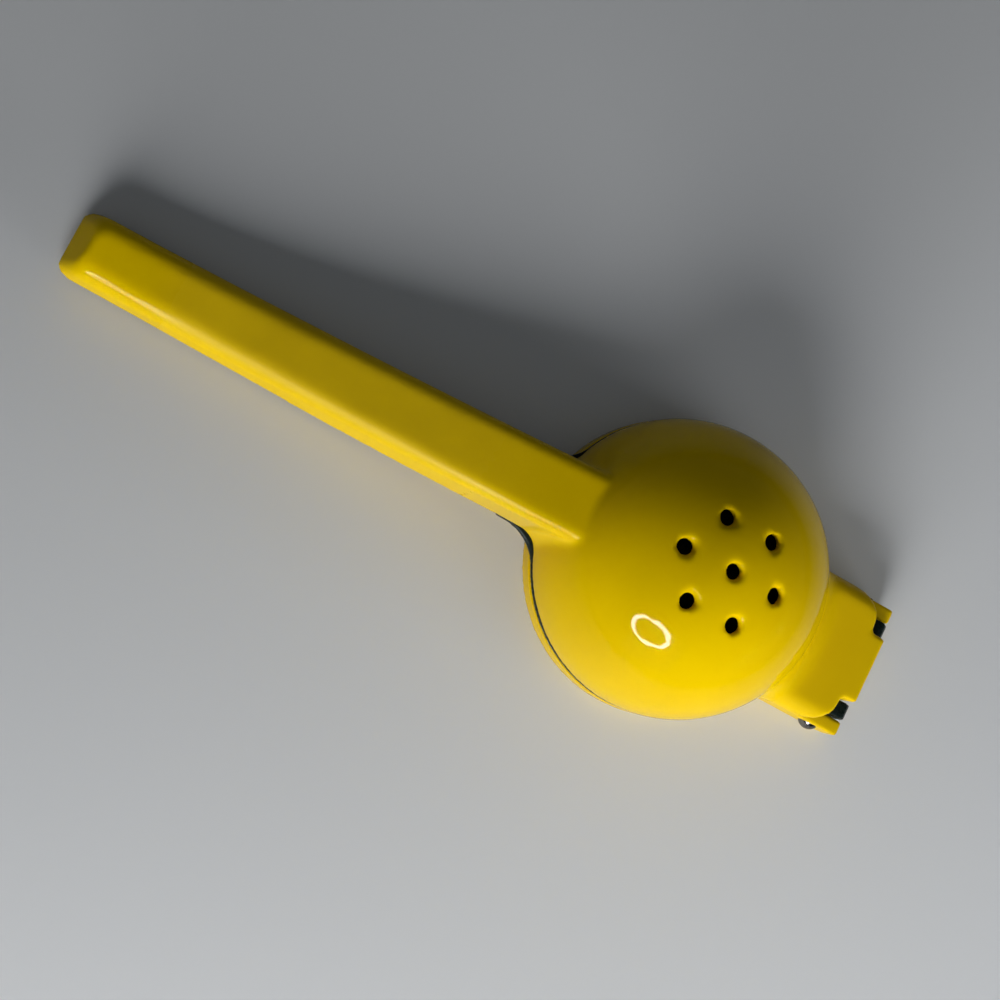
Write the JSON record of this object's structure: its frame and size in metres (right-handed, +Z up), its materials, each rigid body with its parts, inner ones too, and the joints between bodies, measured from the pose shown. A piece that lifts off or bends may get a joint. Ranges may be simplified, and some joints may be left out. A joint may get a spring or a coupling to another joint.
{
  "type": "hinged_lemon_squeezer",
  "caption": "Two-in-one hinged lemon squeezer: yellow enamelled strainer bowl with a channel handle, dark lime insert, press half and steel hinge pin",
  "frame": {"origin": "middle of the bounding box in X and Y, at the flat underside of the press half", "axes": "+Z up along the dome's axis, +X along the tool towards the hinge, handles towards -X, +Y to the left seen from behind the handles"},
  "size_m": [0.2284, 0.076, 0.0477],
  "materials": {
    "yellow_enamel": "glossy enamel over cast aluminium",
    "dark_enamel": "satin near-black enamel over cast aluminium",
    "pin_steel": "plain steel rivet, slightly worn"
  },
  "bodies": {
    "press": {"press": "yellow_enamel", "hinge_pin": "pin_steel"},
    "bowl": {"bowl": "yellow_enamel"},
    "insert": {"lime_insert": "dark_enamel"}
  },
  "joints": [
    {"name": "bowl_hinge", "type": "hinge", "parent": "press", "child": "bowl", "pos_m": [0.1068, 0, 0.005], "axis": [0, 1, 0], "range_deg": [0, 120]},
    {"name": "insert_hinge", "type": "hinge", "parent": "press", "child": "insert", "pos_m": [0.1068, 0, 0.005], "axis": [0, 1, 0], "range_deg": [0, 60]}
  ],
  "couplings": [
    {"joint": "insert_hinge", "follows": "bowl_hinge", "ratio": 0.5}
  ]
}
